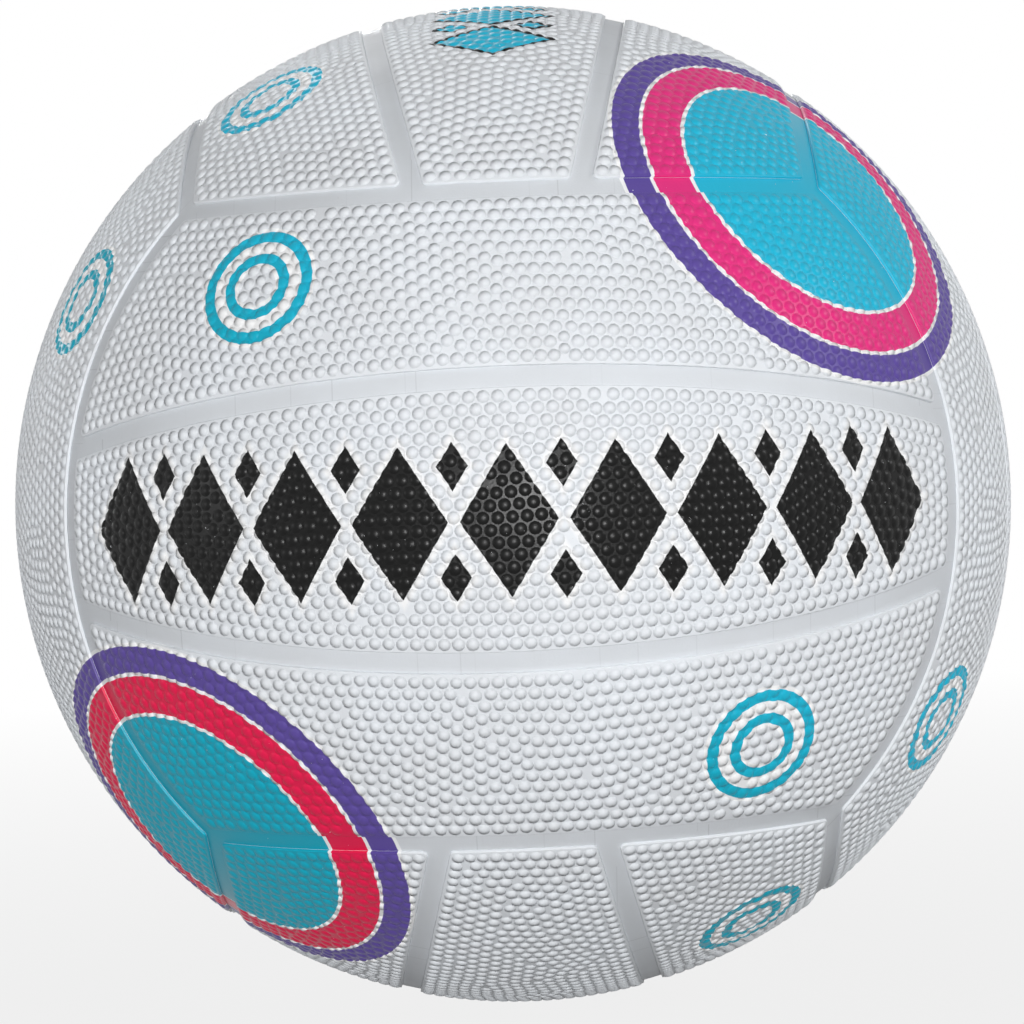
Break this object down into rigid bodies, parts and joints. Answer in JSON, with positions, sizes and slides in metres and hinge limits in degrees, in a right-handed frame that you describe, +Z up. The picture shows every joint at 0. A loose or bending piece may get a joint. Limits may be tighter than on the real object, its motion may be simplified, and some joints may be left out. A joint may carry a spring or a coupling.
{
  "type": "netball",
  "caption": "Inflated ball with a pimpled rubber cover of strip panels in groups of three, smooth recessed channels between them, and a needle valve.",
  "frame": {"origin": "centre of the ball", "axes": "+Z up; -Y is the front face, whose strips run along X; +Y is the valve's axis, pointing out of the ball at the middle of the back face"},
  "size_m": [0.2228, 0.2227, 0.2228],
  "materials": {
    "cover_rubber": "satin",
    "channel_rubber": "satin",
    "winding_thread": "matte",
    "bladder_rubber": "satin",
    "patch_rubber": "matte",
    "valve_rubber": "satin",
    "plug_rubber": "satin"
  },
  "bodies": {
    "root": {"front_upper_panel": "cover_rubber", "front_middle_panel": "cover_rubber", "front_lower_panel": "cover_rubber", "back_upper_panel": "cover_rubber", "back_middle_panel": "cover_rubber", "back_lower_panel": "cover_rubber", "bottom_right_panel": "cover_rubber", "bottom_middle_panel": "cover_rubber", "bottom_left_panel": "cover_rubber", "top_right_panel": "cover_rubber", "top_middle_panel": "cover_rubber", "top_left_panel": "cover_rubber", "left_back_panel": "cover_rubber", "left_middle_panel": "cover_rubber", "left_front_panel": "cover_rubber", "right_front_panel": "cover_rubber", "right_middle_panel": "cover_rubber", "right_back_panel": "cover_rubber", "channel_rubber": "channel_rubber", "thread_winding": "winding_thread", "bladder": "bladder_rubber", "valve_patch": "patch_rubber", "valve_housing": "valve_rubber", "valve_plug": "plug_rubber"}
  },
  "joints": []
}
